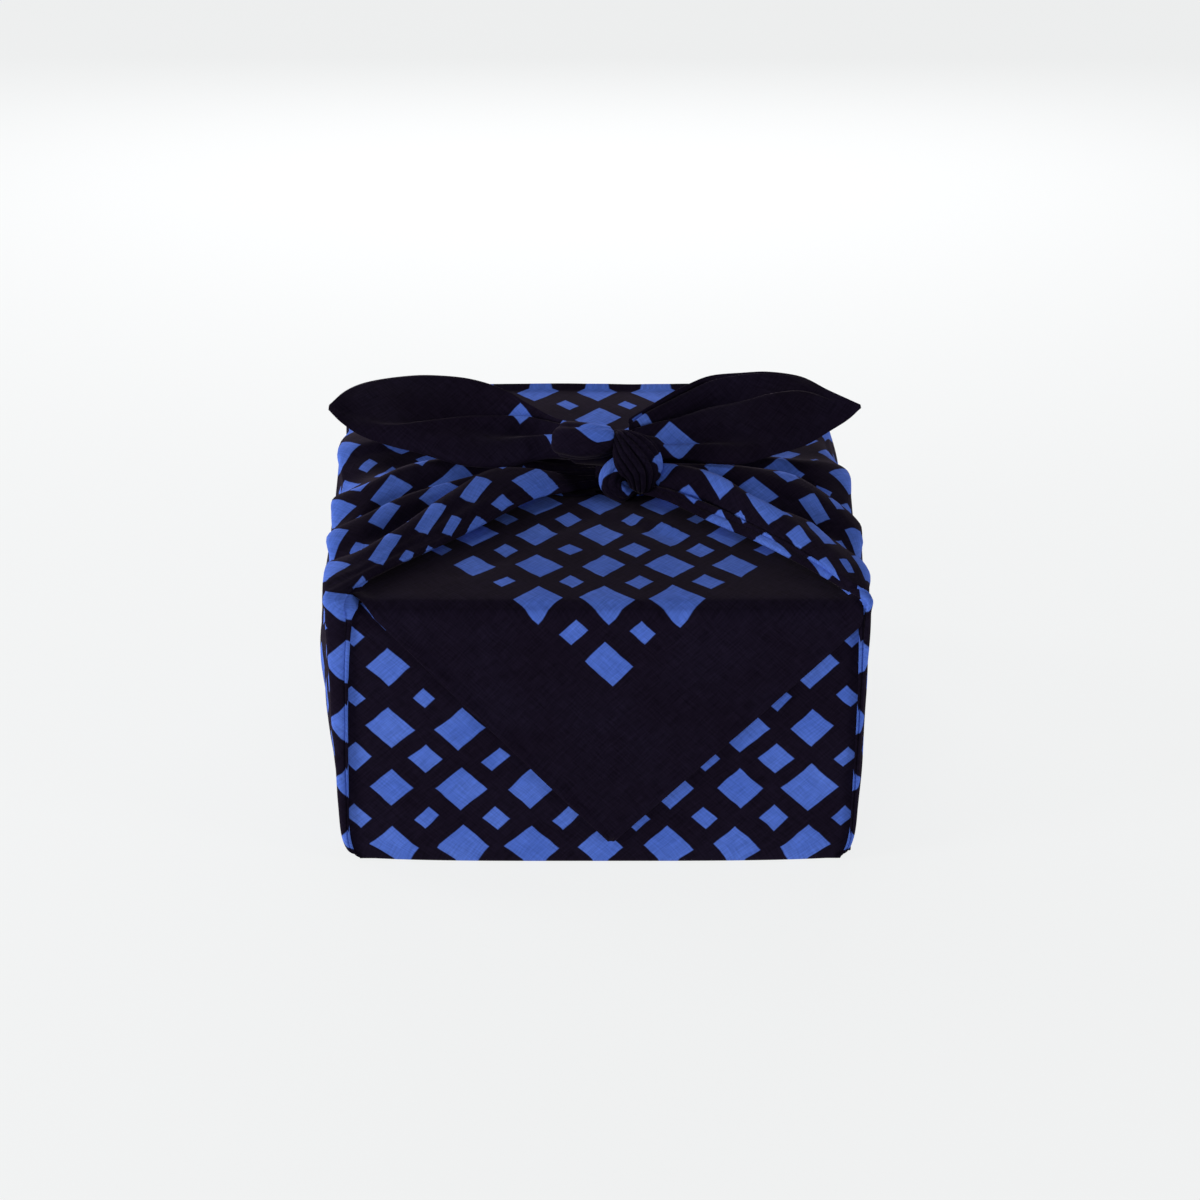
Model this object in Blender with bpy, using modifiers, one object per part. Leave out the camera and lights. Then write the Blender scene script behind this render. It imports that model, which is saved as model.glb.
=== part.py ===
"""Furoshiki wrap: one square of cotton cloth, folded round a box shape and tied in a knot on top.

The frame: origin under the middle of the base, +X to the right, -Y to the front, +Z up, in metres.
The cloth is one closed solid, hollow inside. Its parts are lofted as thin sheets and then united.
"""

import math

import bmesh
import bpy
import numpy as np

# Driving dimensions.
CLOTH_SIDE = 0.700
WIDTH = 0.192
DEPTH = 0.190
HEIGHT = 0.110
SHEET = 0.0013
LAYER_GAP = 0.0007
EDGE_RADIUS = 0.0045

# The belt is the cloth from its near corner, round the box, to its far corner.
HALF_DIAGONAL = CLOTH_SIDE / math.sqrt(2)
LAYER_STEP = SHEET + LAYER_GAP
BELT_INSET = 0.0018
FACE_PILLOW = 0.0016
FLAP_TIP_X = 0.004
FLAP_LEFT_SLOPE = 0.905
FLAP_RIGHT_SLOPE = 0.980
TIP_HALF_WIDTH = 0.0015
BELT_COLUMNS = 6
BELT_ROW_STEP = 0.020

# The ends: cloth that rises from the base's left and right edges and is gathered to the knot.
# Each station is a height on the wall or, past the brow, a share of the way to the knot. It says how
# far out from the box's wall the cloth is, how much of the wall's bulge it has, how far its front and
# back edges are drawn in, how deep its folds are and which way its thickness goes: 0 degrees is
# level, toward the box, and 90 is straight down.
STATIONS = (
    # height, to_knot, out, bulge, drawn_in, fold_depth, lean
    (0.0003, 0.00, -0.0060, 0.00, 0.0090, 0.0, -90),
    (0.0006, 0.00, -0.0012, 0.05, 0.0045, 0.0, -75),
    (0.0060, 0.00, 0.0018, 0.22, 0.0015, 0.0, -15),
    (0.0220, 0.00, 0.0022, 0.65, 0.0005, 0.2, 0),
    (0.0500, 0.00, 0.0022, 1.00, 0.0000, 0.3, 0),
    (0.0820, 0.00, 0.0022, 0.85, 0.0000, 0.4, 5),
    (0.1030, 0.00, 0.0022, 0.55, 0.0005, 0.5, 15),
    (0.1120, 0.01, 0.0012, 0.20, 0.0020, 0.6, 45),
    (0.1150, 0.08, 0.0000, 0.00, 0.0020, 0.7, 80),
    (None, 0.35, 0.0000, 0.00, 0.0010, 1.0, 90),
    (None, 0.68, 0.0000, 0.00, 0.0000, 0.7, 90),
    (None, 1.00, 0.0000, 0.00, 0.0000, 0.1, 90),
)
BROW_HEIGHT = 0.1150
WALL_FOLD_SHARE = 0.65
LAP_ROUND = 0.0042
LAP_TURN = math.radians(50)
STEPS_BETWEEN_STATIONS = 2
STEPS_BETWEEN_LINES = 2

# Fold lines of each end, front to back: where each meets the wall and how far round the box's corner,
# where it enters the knot, how far it bows to the front on the way, and how far the cloth sinks in the
# crease behind it. The first and last are the folded edges, lapped over the front and the back.
LEFT_FOLDS = (
    # wall_y, round_corner, knot_y, knot_z, bow, crease
    (-0.0992, 0.0042, -0.0125, 0.1190, 0.006, 0.0),
    (-0.0970, 0.0004, -0.0110, 0.1210, 0.006, 0.0020),
    (-0.0700, 0.0000, -0.0070, 0.1270, 0.004, 0.0065),
    (-0.0220, 0.0000, -0.0020, 0.1290, 0.002, 0.0075),
    (0.0260, 0.0000, 0.0030, 0.1290, 0.000, 0.0070),
    (0.0660, 0.0000, 0.0060, 0.1270, -0.003, 0.0030),
    (0.0970, 0.0004, 0.0095, 0.1210, -0.004, 0.0),
    (0.0992, 0.0042, 0.0110, 0.1190, -0.004, 0.0),
)
RIGHT_FOLDS = (
    (-0.0992, 0.0036, -0.0140, 0.1190, 0.002, 0.0),
    (-0.0970, 0.0002, -0.0125, 0.1210, 0.002, 0.0010),
    (-0.0770, 0.0000, -0.0090, 0.1260, 0.003, 0.0055),
    (-0.0370, 0.0000, -0.0040, 0.1290, 0.003, 0.0080),
    (0.0090, 0.0000, 0.0020, 0.1290, 0.001, 0.0070),
    (0.0560, 0.0000, 0.0055, 0.1265, -0.002, 0.0035),
    (0.0970, 0.0004, 0.0090, 0.1210, -0.004, 0.0),
    (0.0992, 0.0042, 0.0105, 0.1190, -0.004, 0.0),
)
LEFT_BULGE = 0.0115
RIGHT_BULGE = 0.0080
LEFT_KNOT_X = 0.0080
RIGHT_KNOT_X = 0.0160

# The tails, from the knot to the free tip: lower edge, ridge, crease and upper edge of each section.
LEFT_TAIL = (
    # x, low_y, low_z, ridge_y, ridge_z, crease_y, crease_z, up_y, up_z
    (-0.0060, -0.0070, 0.1270, -0.0040, 0.1330, 0.0000, 0.1340, 0.0040, 0.1335),
    (-0.0190, -0.0040, 0.1250, 0.0000, 0.1330, 0.0040, 0.1325, 0.0080, 0.1370),
    (-0.0380, -0.0055, 0.1225, 0.0070, 0.1350, 0.0130, 0.1330, 0.0265, 0.1400),
    (-0.0600, -0.0040, 0.1240, 0.0090, 0.1365, 0.0160, 0.1345, 0.0345, 0.1420),
    (-0.0800, 0.0000, 0.1280, 0.0080, 0.1370, 0.0150, 0.1355, 0.0335, 0.1415),
    (-0.0940, 0.0080, 0.1330, 0.0130, 0.1370, 0.0190, 0.1370, 0.0300, 0.1400),
    (-0.1055, 0.0130, 0.1372, 0.0140, 0.1375, 0.0150, 0.1375, 0.0160, 0.1377),
)
RIGHT_TAIL = (
    (0.0120, -0.0060, 0.1280, -0.0030, 0.1330, 0.0010, 0.1340, 0.0040, 0.1350),
    (0.0240, -0.0030, 0.1250, 0.0040, 0.1330, 0.0090, 0.1335, 0.0140, 0.1380),
    (0.0400, -0.0040, 0.1230, 0.0120, 0.1350, 0.0190, 0.1340, 0.0295, 0.1430),
    (0.0590, -0.0045, 0.1245, 0.0170, 0.1380, 0.0230, 0.1365, 0.0330, 0.1440),
    (0.0750, 0.0015, 0.1265, 0.0200, 0.1400, 0.0260, 0.1385, 0.0330, 0.1440),
    (0.0890, 0.0080, 0.1300, 0.0160, 0.1395, 0.0210, 0.1395, 0.0255, 0.1410),
    (0.1018, 0.0127, 0.1382, 0.0137, 0.1385, 0.0147, 0.1386, 0.0157, 0.1387),
)
TAIL_STEPS = 3
TAIL_SHEET = 0.0016

# The strands of the knot: centre line, half width and half thickness.
KNOT_STRANDS = {
    "core": (
        ((-0.0160, -0.0007, 0.1237), (0.0057, -0.0023, 0.1247), (0.0280, -0.0009, 0.1239)),
        (0.0096, 0.0109, 0.0094),
        (0.0054, 0.0069, 0.0056),
    ),
    "left_band": (
        ((-0.0200, 0.0010, 0.1290), (-0.0080, -0.0020, 0.1310), (0.0060, -0.0040, 0.1310)),
        (0.0070, 0.0085, 0.0075),
        (0.0045, 0.0060, 0.0055),
    ),
    "wrap": (
        (
            (0.0030, 0.0060, 0.1310),
            (0.0060, -0.0030, 0.1335),
            (0.0100, -0.0115, 0.1290),
            (0.0140, -0.0155, 0.1200),
        ),
        (0.0070, 0.0080, 0.0090, 0.0070),
        (0.0045, 0.0055, 0.0060, 0.0045),
    ),
    "lower_loop": (
        (
            (-0.0140, -0.0080, 0.1230),
            (-0.0040, -0.0130, 0.1200),
            (0.0060, -0.0145, 0.1190),
            (0.0160, -0.0130, 0.1205),
        ),
        (0.0055, 0.0060, 0.0060, 0.0055),
        (0.0040, 0.0045, 0.0040, 0.0040),
    ),
    "right_band": (
        ((0.0060, -0.0010, 0.1330), (0.0160, -0.0010, 0.1310), (0.0260, 0.0020, 0.1290)),
        (0.0070, 0.0075, 0.0065),
        (0.0045, 0.0055, 0.0045),
    ),
}
STRAND_SIDES = 12
STRAND_STEPS = 4

CLOTH_COLOUR = (0.012, 0.012, 0.030, 1.0)
CLOTH_ROUGHNESS = 0.88


def clear_scene():
    for item in list(bpy.data.objects):
        bpy.data.objects.remove(item, do_unlink=True)


def new_collection(name):
    collection = bpy.data.collections.new(name)
    bpy.context.scene.collection.children.link(collection)
    return collection


def curve_through(points, steps):
    """Points of a smooth curve through the given points, with that many steps between two of them."""
    points = np.asarray(points, float)
    ends = (2 * points[0] - points[1], 2 * points[-1] - points[-2])
    padded = np.vstack((ends[0], points, ends[1]))
    result = []
    for start in range(len(points) - 1):
        before, here, there, after = padded[start : start + 4]
        for step in range(steps):
            t = step / steps
            bend = 2 * before - 5 * here + 4 * there - after
            twist = -before + 3 * here - 3 * there + after
            result.append(here + 0.5 * (t * (there - before) + t * t * bend + t**3 * twist))
    result.append(points[-1])
    return np.array(result)


def surface_through(table, steps_along, steps_across):
    """A smooth grid of points through a table whose rows are lines of points."""
    table = np.asarray(table, float)
    lines = np.array([curve_through(line, steps_along) for line in table])
    rows = [curve_through(lines[:, column], steps_across) for column in range(lines.shape[1])]
    return np.array(rows)


def mesh_object(name, vertices, faces, collection):
    mesh = bpy.data.meshes.new(name)
    mesh.from_pydata([tuple(vertex) for vertex in vertices], [], faces)
    work = bmesh.new()
    work.from_mesh(mesh)
    bmesh.ops.remove_doubles(work, verts=work.verts, dist=1e-5)
    bmesh.ops.recalc_face_normals(work, faces=work.faces)
    work.to_mesh(mesh)
    work.free()
    item = bpy.data.objects.new(name, mesh)
    collection.objects.link(item)
    return item


def grid_faces(rows, columns, closed=False):
    """Quads between the points of a grid that is stored row by row."""
    across = columns if closed else columns - 1
    faces = []
    for row in range(rows - 1):
        for column in range(across):
            beside = (column + 1) % columns
            here = row * columns
            above = here + columns
            faces.append((here + column, here + beside, above + beside, above + column))
    return faces


def open_sheet(name, grid, collection, inward):
    """A sheet through the grid, given its thickness on the side that inward points to."""
    rows, columns = grid.shape[:2]
    item = mesh_object(name, grid.reshape(-1, 3), grid_faces(rows, columns), collection)
    middle = item.data.polygons[len(item.data.polygons) // 2]
    faces_in = middle.normal.dot(inward) > 0
    solid = item.modifiers.new("thickness", "SOLIDIFY")
    solid.thickness = SHEET
    solid.offset = 1.0 if faces_in else -1.0
    solid.use_even_offset = True
    return item


def closed_sheet(name, grid, thickness, collection):
    """A sheet between the grid and the same grid moved by its thickness vectors."""
    rows, columns = grid.shape[:2]
    count = rows * columns
    outer = grid.reshape(-1, 3)
    inner = (grid + thickness).reshape(-1, 3)
    faces = grid_faces(rows, columns)
    faces += [tuple(count + index for index in reversed(face)) for face in faces]
    rim = list(range(columns))
    rim += [row * columns + columns - 1 for row in range(1, rows)]
    rim += [(rows - 1) * columns + column for column in range(columns - 2, -1, -1)]
    rim += [row * columns for row in range(rows - 2, 0, -1)]
    for here, there in zip(rim, rim[1:] + rim[:1]):
        faces.append((here, count + here, count + there, there))
    return mesh_object(name, np.vstack((outer, inner)), faces, collection)


def rounded_path(corners, radius, step):
    """A path in the Y-Z plane along straight runs, with its corners rounded to arcs."""
    corners = [np.array(corner, float) for corner in corners]
    path = [corners[0]]
    for before, here, after in zip(corners, corners[1:], corners[2:]):
        toward = (before - here) / np.linalg.norm(before - here)
        away = (after - here) / np.linalg.norm(after - here)
        centre = here + radius * (toward + away)
        add_run(path, here + radius * toward, step)
        for turn in (math.pi / 8, math.pi / 4, 3 * math.pi / 8, math.pi / 2):
            path.append(centre - radius * (away * math.cos(turn) + toward * math.sin(turn)))
    add_run(path, corners[-1], step)
    return np.array(path)


def add_run(path, end, step):
    start = path[-1]
    count = max(1, round(np.linalg.norm(end - start) / step))
    for index in range(1, count + 1):
        path.append(start + (end - start) * index / count)


def reach_along(path):
    """Distance along the path from its start to each of its points."""
    return np.concatenate(([0], np.cumsum(np.linalg.norm(np.diff(path, axis=0), axis=1))))


def belt_path():
    """The belt's section and the distance of each of its points from the middle of the base."""
    half = DEPTH / 2
    lower_top = HEIGHT - LAYER_STEP
    inner_back = half - LAYER_STEP
    outer_front = -half - LAYER_STEP
    near_left = HALF_DIAGONAL - (half + lower_top + half + inner_back)
    far_left = HALF_DIAGONAL - (half + HEIGHT + half - outer_front)
    near_tip = (inner_back, lower_top - near_left)
    far_tip = (outer_front, HEIGHT - far_left)
    near = ((0, 0), (-half, 0), (-half, lower_top), (inner_back, lower_top), near_tip)
    far = ((0, 0), (half, 0), (half, HEIGHT), (outer_front, HEIGHT), far_tip)
    near_path = rounded_path(near, EDGE_RADIUS, BELT_ROW_STEP)
    far_path = rounded_path(far, EDGE_RADIUS, BELT_ROW_STEP)
    near_reach = reach_along(near_path)
    far_reach = reach_along(far_path)
    path = np.vstack((near_path[:0:-1], far_path))
    reach = np.concatenate((near_reach[:0:-1] - near_reach[-1], far_reach - far_reach[-1]))
    is_far = np.arange(len(path)) >= len(near_path) - 1
    return path, np.abs(reach), is_far


def belt_edges(from_tip, is_far):
    """Left and right edge of the belt at a distance from its nearer tip."""
    half = WIDTH / 2 - BELT_INSET
    if is_far:
        left = max(-half, FLAP_TIP_X - TIP_HALF_WIDTH - FLAP_LEFT_SLOPE * from_tip)
        right = min(half, FLAP_TIP_X + TIP_HALF_WIDTH + FLAP_RIGHT_SLOPE * from_tip)
        return left, right
    return -min(half, TIP_HALF_WIDTH + from_tip), min(half, TIP_HALF_WIDTH + from_tip)


def pillow(x, y, z):
    """How far the front and back stand out, most in their middle."""
    if abs(y) < DEPTH / 2 - LAYER_STEP - 1e-6:
        return 0.0
    swell = FACE_PILLOW * math.cos(math.pi * x / WIDTH) * math.sin(math.pi * min(max(z / HEIGHT, 0), 1))
    return math.copysign(swell, y)


def belt_grid():
    path, from_tip, is_far = belt_path()
    grid = np.zeros((len(path), BELT_COLUMNS + 1, 3))
    for row, (y, z) in enumerate(path):
        left, right = belt_edges(from_tip[row], is_far[row])
        for column in range(BELT_COLUMNS + 1):
            x = left + (right - left) * column / BELT_COLUMNS
            grid[row, column] = (x, y + pillow(x, y, z), z)
    return grid


def wall_bulge(y, amount):
    """How far an end wall stands out at a place along it."""
    return amount * max(1 - abs(2 * y / DEPTH) ** 4, 0)


def fold_line(fold, sink, side, bulge, knot_x):
    """One line of an end, from the base's edge up the wall and over to the knot."""
    wall_y, round_corner, knot_y, knot_z, bow, _ = fold
    line = []
    for height, to_knot, out, swell, drawn_in, depth, _ in STATIONS:
        lower = sink * depth
        on_wall = WALL_FOLD_SHARE * lower if swell > 0 else 0.0
        wall_x = WIDTH / 2 + out + swell * wall_bulge(wall_y, bulge) - round_corner - on_wall
        edge_y = wall_y * (1 - drawn_in / (DEPTH / 2))
        x = wall_x + (knot_x - wall_x) * to_knot
        y = edge_y + (knot_y - edge_y) * to_knot - bow * math.sin(math.pi * to_knot)
        rise = BROW_HEIGHT + (knot_z - BROW_HEIGHT) * to_knot - lower
        line.append((side * x, y, rise if height is None else height))
    return line


def thickness_line(fold, side):
    """Thickness vectors along one line of an end, turned with it where it laps round a corner."""
    turn = math.copysign(LAP_TURN * fold[1] / LAP_ROUND, fold[0])
    line = []
    for station in STATIONS:
        lean = math.radians(station[-1])
        level = SHEET * math.cos(lean)
        line.append((-side * level * math.cos(turn), -level * math.sin(turn), -SHEET * math.sin(lean)))
    return line


def with_creases(folds):
    """Each fold's line with its sink, and the crease behind it where it has one."""
    lines = []
    for fold, following in zip(folds, folds[1:]):
        lines.append((fold, 0.0))
        if fold[-1] > 0:
            lines.append(([(a + b) / 2 for a, b in zip(fold, following)], fold[-1]))
    lines.append((folds[-1], 0.0))
    return lines


def make_end(name, folds, side, bulge, knot_x, collection):
    lines = with_creases(folds)
    ridges = [fold_line(fold, sink, side, bulge, knot_x) for fold, sink in lines]
    vectors = [thickness_line(fold, side) for fold, sink in lines]
    grid = surface_through(ridges, STEPS_BETWEEN_STATIONS, STEPS_BETWEEN_LINES)
    thickness = surface_through(vectors, STEPS_BETWEEN_STATIONS, STEPS_BETWEEN_LINES)
    return closed_sheet(name, grid, thickness, collection)


def make_tail(name, table, collection):
    """A tail through its lower edge, ridge, crease and upper edge."""
    lines = []
    for first in (1, 3, 5, 7):
        lines.append([(row[0], row[first], row[first + 1]) for row in table])
    grid = surface_through(lines, TAIL_STEPS, TAIL_STEPS)
    return closed_sheet(name, grid, np.array((0.0, 0.0, -TAIL_SHEET)), collection)


def make_strand(name, centres, widths, thicknesses, collection):
    """A flat-sided bundle of cloth along a smooth line, closed at both ends."""
    line = curve_through(centres, STRAND_STEPS)
    width = curve_through([(value,) for value in widths], STRAND_STEPS)[:, 0]
    thickness = curve_through([(value,) for value in thicknesses], STRAND_STEPS)[:, 0]
    along = np.gradient(line, axis=0)
    along /= np.linalg.norm(along, axis=1)[:, None]
    middle = line.mean(axis=0) - np.array((0.0, 0.0, 0.02))
    vertices = []
    for point, heading, half_width, half_thick in zip(line, along, width, thickness):
        out = point - middle
        out -= heading * out.dot(heading)
        out /= np.linalg.norm(out)
        aside = np.cross(heading, out)
        for turn in range(STRAND_SIDES):
            angle = 2 * math.pi * turn / STRAND_SIDES
            vertices.append(point + aside * half_width * math.cos(angle) + out * half_thick * math.sin(angle))
    faces = grid_faces(len(line), STRAND_SIDES, closed=True)
    faces.append(tuple(range(STRAND_SIDES)))
    last = (len(line) - 1) * STRAND_SIDES
    faces.append(tuple(range(last + STRAND_SIDES - 1, last - 1, -1)))
    return mesh_object(name, vertices, faces, collection)


def make_knot(collection):
    strands = []
    for name, (centres, widths, thicknesses) in KNOT_STRANDS.items():
        strands.append(make_strand(f"knot_{name}", centres, widths, thicknesses, collection))
    return strands


def cloth_material():
    material = bpy.data.materials.new("printed_cotton")
    material.use_nodes = True
    shader = material.node_tree.nodes["Principled BSDF"]
    shader.inputs["Base Color"].default_value = CLOTH_COLOUR
    shader.inputs["Roughness"].default_value = CLOTH_ROUGHNESS
    shader.inputs["Metallic"].default_value = 0.0
    return material


def hide_helper(item):
    item.hide_render = True
    item.display_type = "WIRE"


def unite(body, others):
    """Joins the other solids to the body, one Boolean union for each."""
    for other in others:
        union = body.modifiers.new(f"join_{other.name}", "BOOLEAN")
        union.operation = "UNION"
        union.solver = "EXACT"
        union.object = other
        hide_helper(other)


def main():
    clear_scene()
    wrap = new_collection("furoshiki_wrap")
    helpers = new_collection("helpers")
    body = open_sheet("furoshiki_cloth", belt_grid(), wrap, (0, 0, 1))
    body.data.materials.append(cloth_material())
    ends = [
        make_end("left_end", LEFT_FOLDS, -1, LEFT_BULGE, LEFT_KNOT_X, helpers),
        make_end("right_end", RIGHT_FOLDS, 1, RIGHT_BULGE, RIGHT_KNOT_X, helpers),
    ]
    tails = [make_tail("left_tail", LEFT_TAIL, helpers), make_tail("right_tail", RIGHT_TAIL, helpers)]
    unite(body, ends + make_knot(helpers) + tails)


main()
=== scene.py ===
"""Furoshiki wrap, the looks: a square of printed cotton folded round a box shape and knotted on top.

The frame: origin under the middle of the base, +X to the right, -Y to the front, +Z up, in metres.
Tables of the cloth's lines are in millimetres. Each point of the cloth also has its place on the flat
square: its distance across and along from the square's middle, with the corners at 495 mm.
"""

import math

import bpy
import numpy as np
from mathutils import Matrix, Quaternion, Vector, noise


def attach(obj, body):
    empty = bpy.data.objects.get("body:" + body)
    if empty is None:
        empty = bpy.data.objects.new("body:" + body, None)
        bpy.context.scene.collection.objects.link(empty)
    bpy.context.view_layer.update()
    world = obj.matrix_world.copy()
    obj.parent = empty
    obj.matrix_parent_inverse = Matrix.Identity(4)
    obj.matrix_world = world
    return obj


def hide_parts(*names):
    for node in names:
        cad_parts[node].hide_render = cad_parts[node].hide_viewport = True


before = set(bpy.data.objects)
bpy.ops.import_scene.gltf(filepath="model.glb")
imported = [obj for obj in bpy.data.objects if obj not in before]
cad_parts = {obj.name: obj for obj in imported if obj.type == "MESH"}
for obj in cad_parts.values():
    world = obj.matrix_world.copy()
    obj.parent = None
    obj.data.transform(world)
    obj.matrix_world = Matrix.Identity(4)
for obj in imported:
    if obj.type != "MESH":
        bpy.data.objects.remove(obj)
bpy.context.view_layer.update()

MM = 0.001

# The cloth and the box shape that it wraps, in millimetres.
CLOTH_SIDE = 700.0
HALF_DIAGONAL = CLOTH_SIDE / math.sqrt(2)
CLOTH_THICKNESS = 0.45
BOX_HALF_WIDTH = 96.0
FRONT = 97.4
BACK = 94.8
TOP = 110.0
LAYER_STEP = 1.3
BASE = 0.3  # the lowest cloth is this far above the surface

# The print, in metres: plain squares, large and small by turns, in line with the cloth's edges. Each is
# trimmed and slanted a little by its own chance, and its edges shake as a hand's cut would.
PRINT_PITCH = 0.0185
PRINT_LAST_SQUARE = 16
LARGE_HALF_SIDE = 0.0079
SMALL_HALF_SIDE = 0.0048
MOST_TRIM = 0.0024
MOST_SLANT = 0.14
EDGE_SHAKE = 0.0011
SHAKES_PER_METRE = 120.0
EDGE_SOFTNESS = 0.00025

# The cotton: its thread in metres, and its dyes where they are fresh and where they are worn.
THREAD = 0.00062
SLUB_ACROSS = 1500.0
SLUB_ALONG = 120.0
NAVY = (0.0070, 0.0047, 0.0114, 1.0)
NAVY_WORN = (0.0085, 0.0062, 0.0150, 1.0)
BLUE = (0.062, 0.128, 0.500, 1.0)
BLUE_PALE = (0.088, 0.168, 0.590, 1.0)

# The belt: the middle strip of the cloth, from its near corner round the box to its far corner.
BELT_HALF_WIDTH = 95.6
BELT_COLUMNS = 52
NEAR_ROW_STEP = 6.5
FAR_ROW_STEP = 3.3
NEAR_RADII = (1.2, 4.0, 3.0)
FAR_RADII = (1.2, 1.8, 5.0)
FACE_PILLOW = 2.2
FLAP_TIP = (4.0, 10.6)
FLAP_LEFT_SLOPE = 0.905
FLAP_RIGHT_SLOPE = 0.980
TIP_HALF_WIDTH = 1.2
HEM_WIDTH = 3.6
HEM_RISE = 0.28
EAR_LENGTH = 91.0
EAR_REACH = 95.1
EAR_HEIGHTS = np.linspace(4.0, 99.0, 13)
EAR_COLUMNS = 9
REAR_EAR_SLACK = 7.0
# Soft unevenness of the belt and of the flap's free edges: height, width and seed of each wave.
BELT_WAVES = ((0.35, 34, 1.0), (0.12, 11, 2.0))
FREE_EDGE_RISE = 0.5
FREE_EDGE_WIDTH = 9
FREE_EDGE_WAVE = (0.9, 21, 5.0)
# How much narrower the belt is drawn, as a share: near the base, over the top, and at the rear top edge
# on its left and right, where its corners also sink.
BASE_NARROWING = 0.046
BASE_ROUNDING = 9
TOP_NARROWING = 0.06
REAR_NARROWING = (0.055, 0.085)
REAR_CORNER_DROP = 3.0
# From how far up the flap its print follows the flap's own corner, and not the belt's edges.
FLAP_LENGTH = 190
# Soft creases of the top cloth in front of the knot.
TOP_CREASES = (
    # x, y, direction in degrees, half length, half width, depth
    (20.0, -35.0, -38.0, 16.0, 3.2, 1.6),
    (15.0, -29.0, -30.0, 15.0, 2.6, -1.3),
    (-14.0, -34.0, 42.0, 17.0, 3.0, 0.9),
    (2.0, -42.0, 80.0, 18.0, 4.0, 0.6),
    (34.0, -52.0, -44.0, 18.0, 3.5, 0.8),
    (-40.0, -62.0, 40.0, 20.0, 4.0, 0.6),
)

# The ends, from the base up the wall: how far out the cloth stands from the box, how much of the
# wall's bulge and of the folds' depth it has there.
WALL_STATIONS = (
    # height, out, bulge, relief
    (0.7, -4.2, 0.00, 0.00),
    (1.0, -2.4, 0.01, 0.00),
    (4.0, -0.4, 0.05, 0.00),
    (12.0, 0.6, 0.14, 0.00),
    (25.0, 1.2, 0.38, 0.05),
    (36.0, 1.6, 0.68, 0.10),
    (52.0, 2.0, 0.96, 0.16),
    (68.0, 2.2, 1.00, 0.26),
    (82.0, 2.2, 0.84, 0.38),
    (96.0, 2.2, 0.68, 0.52),
    (106.0, 2.0, 0.60, 0.68),
    (112.5, 0.0, 0.00, 0.80),
)
# How much of its course from the wall to its place on the brow each fold has run at each station.
BROW_SHARE = (0, 0, 0, 0, 0, 0, 0, 0.05, 0.15, 0.35, 0.65, 1.0)
# Over the top the folds' lines are given at these distances from the middle of the box.
TOP_STATIONS = (90.0, 75.0, 58.0, 42.0, 26.0, 12.0, -1.5)
TOP_RELIEF = (0.85, 1.0, 1.0, 0.9, 0.55, 0.2, 0.0)
# The lowest that a valley lies on the belt, how high the hidden returns lie, and how near the middle
# the print is taken off the gathers, so that the plain navy there is painted shade under the knot.
LEAST_VALLEY = 112.6
RETURN_HEIGHT = 110.9
PAINTED_SHADE_REACH = 18.0

# Each fold: where it meets the wall in depth, how far out it crosses the brow, how deep the cloth sinks
# behind it, which way it faces, and its place in depth and its height at each top station.
LEFT_FOLDS = (
    (-98.0, 94.0, 0.0, "lip",
     (-88.0, -73.0, -56.6, -40.2, -24.0, -10.5, -2.5),
     (112.8, 113.8, 114.4, 115.4, 116.6, 113.6, 112.4)),
    (-70.0, 101.5, 7.0, "front",
     (-68.4, -51.5, -29.6, -11.7, -8.0, -4.0, 0.5),
     (116.5, 118.6, 121.2, 123.0, 121.6, 116.6, 114.0)),
    (-46.0, 102.3, 5.0, "front",
     (-39.0, -25.0, -13.2, -5.6, -4.4, -1.6, 1.5),
     (116.6, 117.8, 118.4, 119.0, 119.2, 117.0, 115.4)),
    (-14.0, 102.5, 8.0, "front",
     (-13.0, -2.4, 2.6, 3.6, 2.2, 1.4, 2.6),
     (117.6, 119.9, 121.2, 121.4, 120.4, 118.4, 117.4)),
    (26.0, 102.5, 6.5, "back",
     (26.0, 27.0, 24.0, 15.0, 8.5, 4.6, 4.0),
     (116.5, 118.0, 119.0, 119.8, 119.6, 119.2, 119.4)),
    (66.0, 102.4, 5.0, "back",
     (62.0, 54.0, 42.0, 28.0, 15.0, 8.0, 6.0),
     (115.0, 116.6, 118.0, 119.2, 119.6, 118.8, 118.6)),
    (96.0, 95.0, 0.0, "back_lip",
     (82.5, 72.5, 59.5, 43.5, 26.0, 12.0, 8.5),
     (110.2, 111.8, 113.4, 115.2, 117.2, 117.6, 116.6)),
)
RIGHT_FOLDS = (
    (-98.0, 95.4, 0.0, "lip",
     (-91.5, -72.4, -52.9, -38.4, -22.9, -11.0, -2.5),
     (112.6, 113.2, 113.6, 114.4, 115.6, 114.2, 112.6)),
    (-93.0, 96.6, 1.2, "edge",
     (-90.0, -66.0, -46.4, -28.1, -18.0, -8.5, -1.0),
     (115.2, 116.6, 117.6, 118.6, 119.4, 116.8, 116.0)),
    (-77.0, 98.6, 8.5, "front",
     (-65.3, -46.6, -35.2, -16.9, -9.0, -3.5, 0.8),
     (116.8, 119.8, 122.3, 124.5, 124.6, 120.6, 119.2)),
    (-37.0, 98.5, 8.0, "front",
     (-26.6, -9.5, -5.9, -4.0, -2.5, 0.4, 2.2),
     (117.0, 119.7, 121.3, 121.3, 120.8, 119.8, 119.8)),
    (9.0, 97.5, 6.5, "front",
     (10.4, 8.0, 8.5, 7.0, 5.0, 3.6, 3.6),
     (116.0, 118.6, 120.0, 120.5, 120.2, 119.4, 119.4)),
    (56.0, 91.5, 5.0, "back",
     (50.0, 44.0, 36.0, 24.0, 13.0, 7.6, 6.0),
     (113.6, 116.0, 118.0, 119.4, 119.6, 118.8, 118.6)),
    (96.0, 89.0, 0.0, "back_lip",
     (78.5, 70.0, 58.5, 43.5, 26.0, 12.0, 8.5),
     (109.6, 111.2, 113.0, 115.2, 117.2, 117.6, 116.6)),
)
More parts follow.
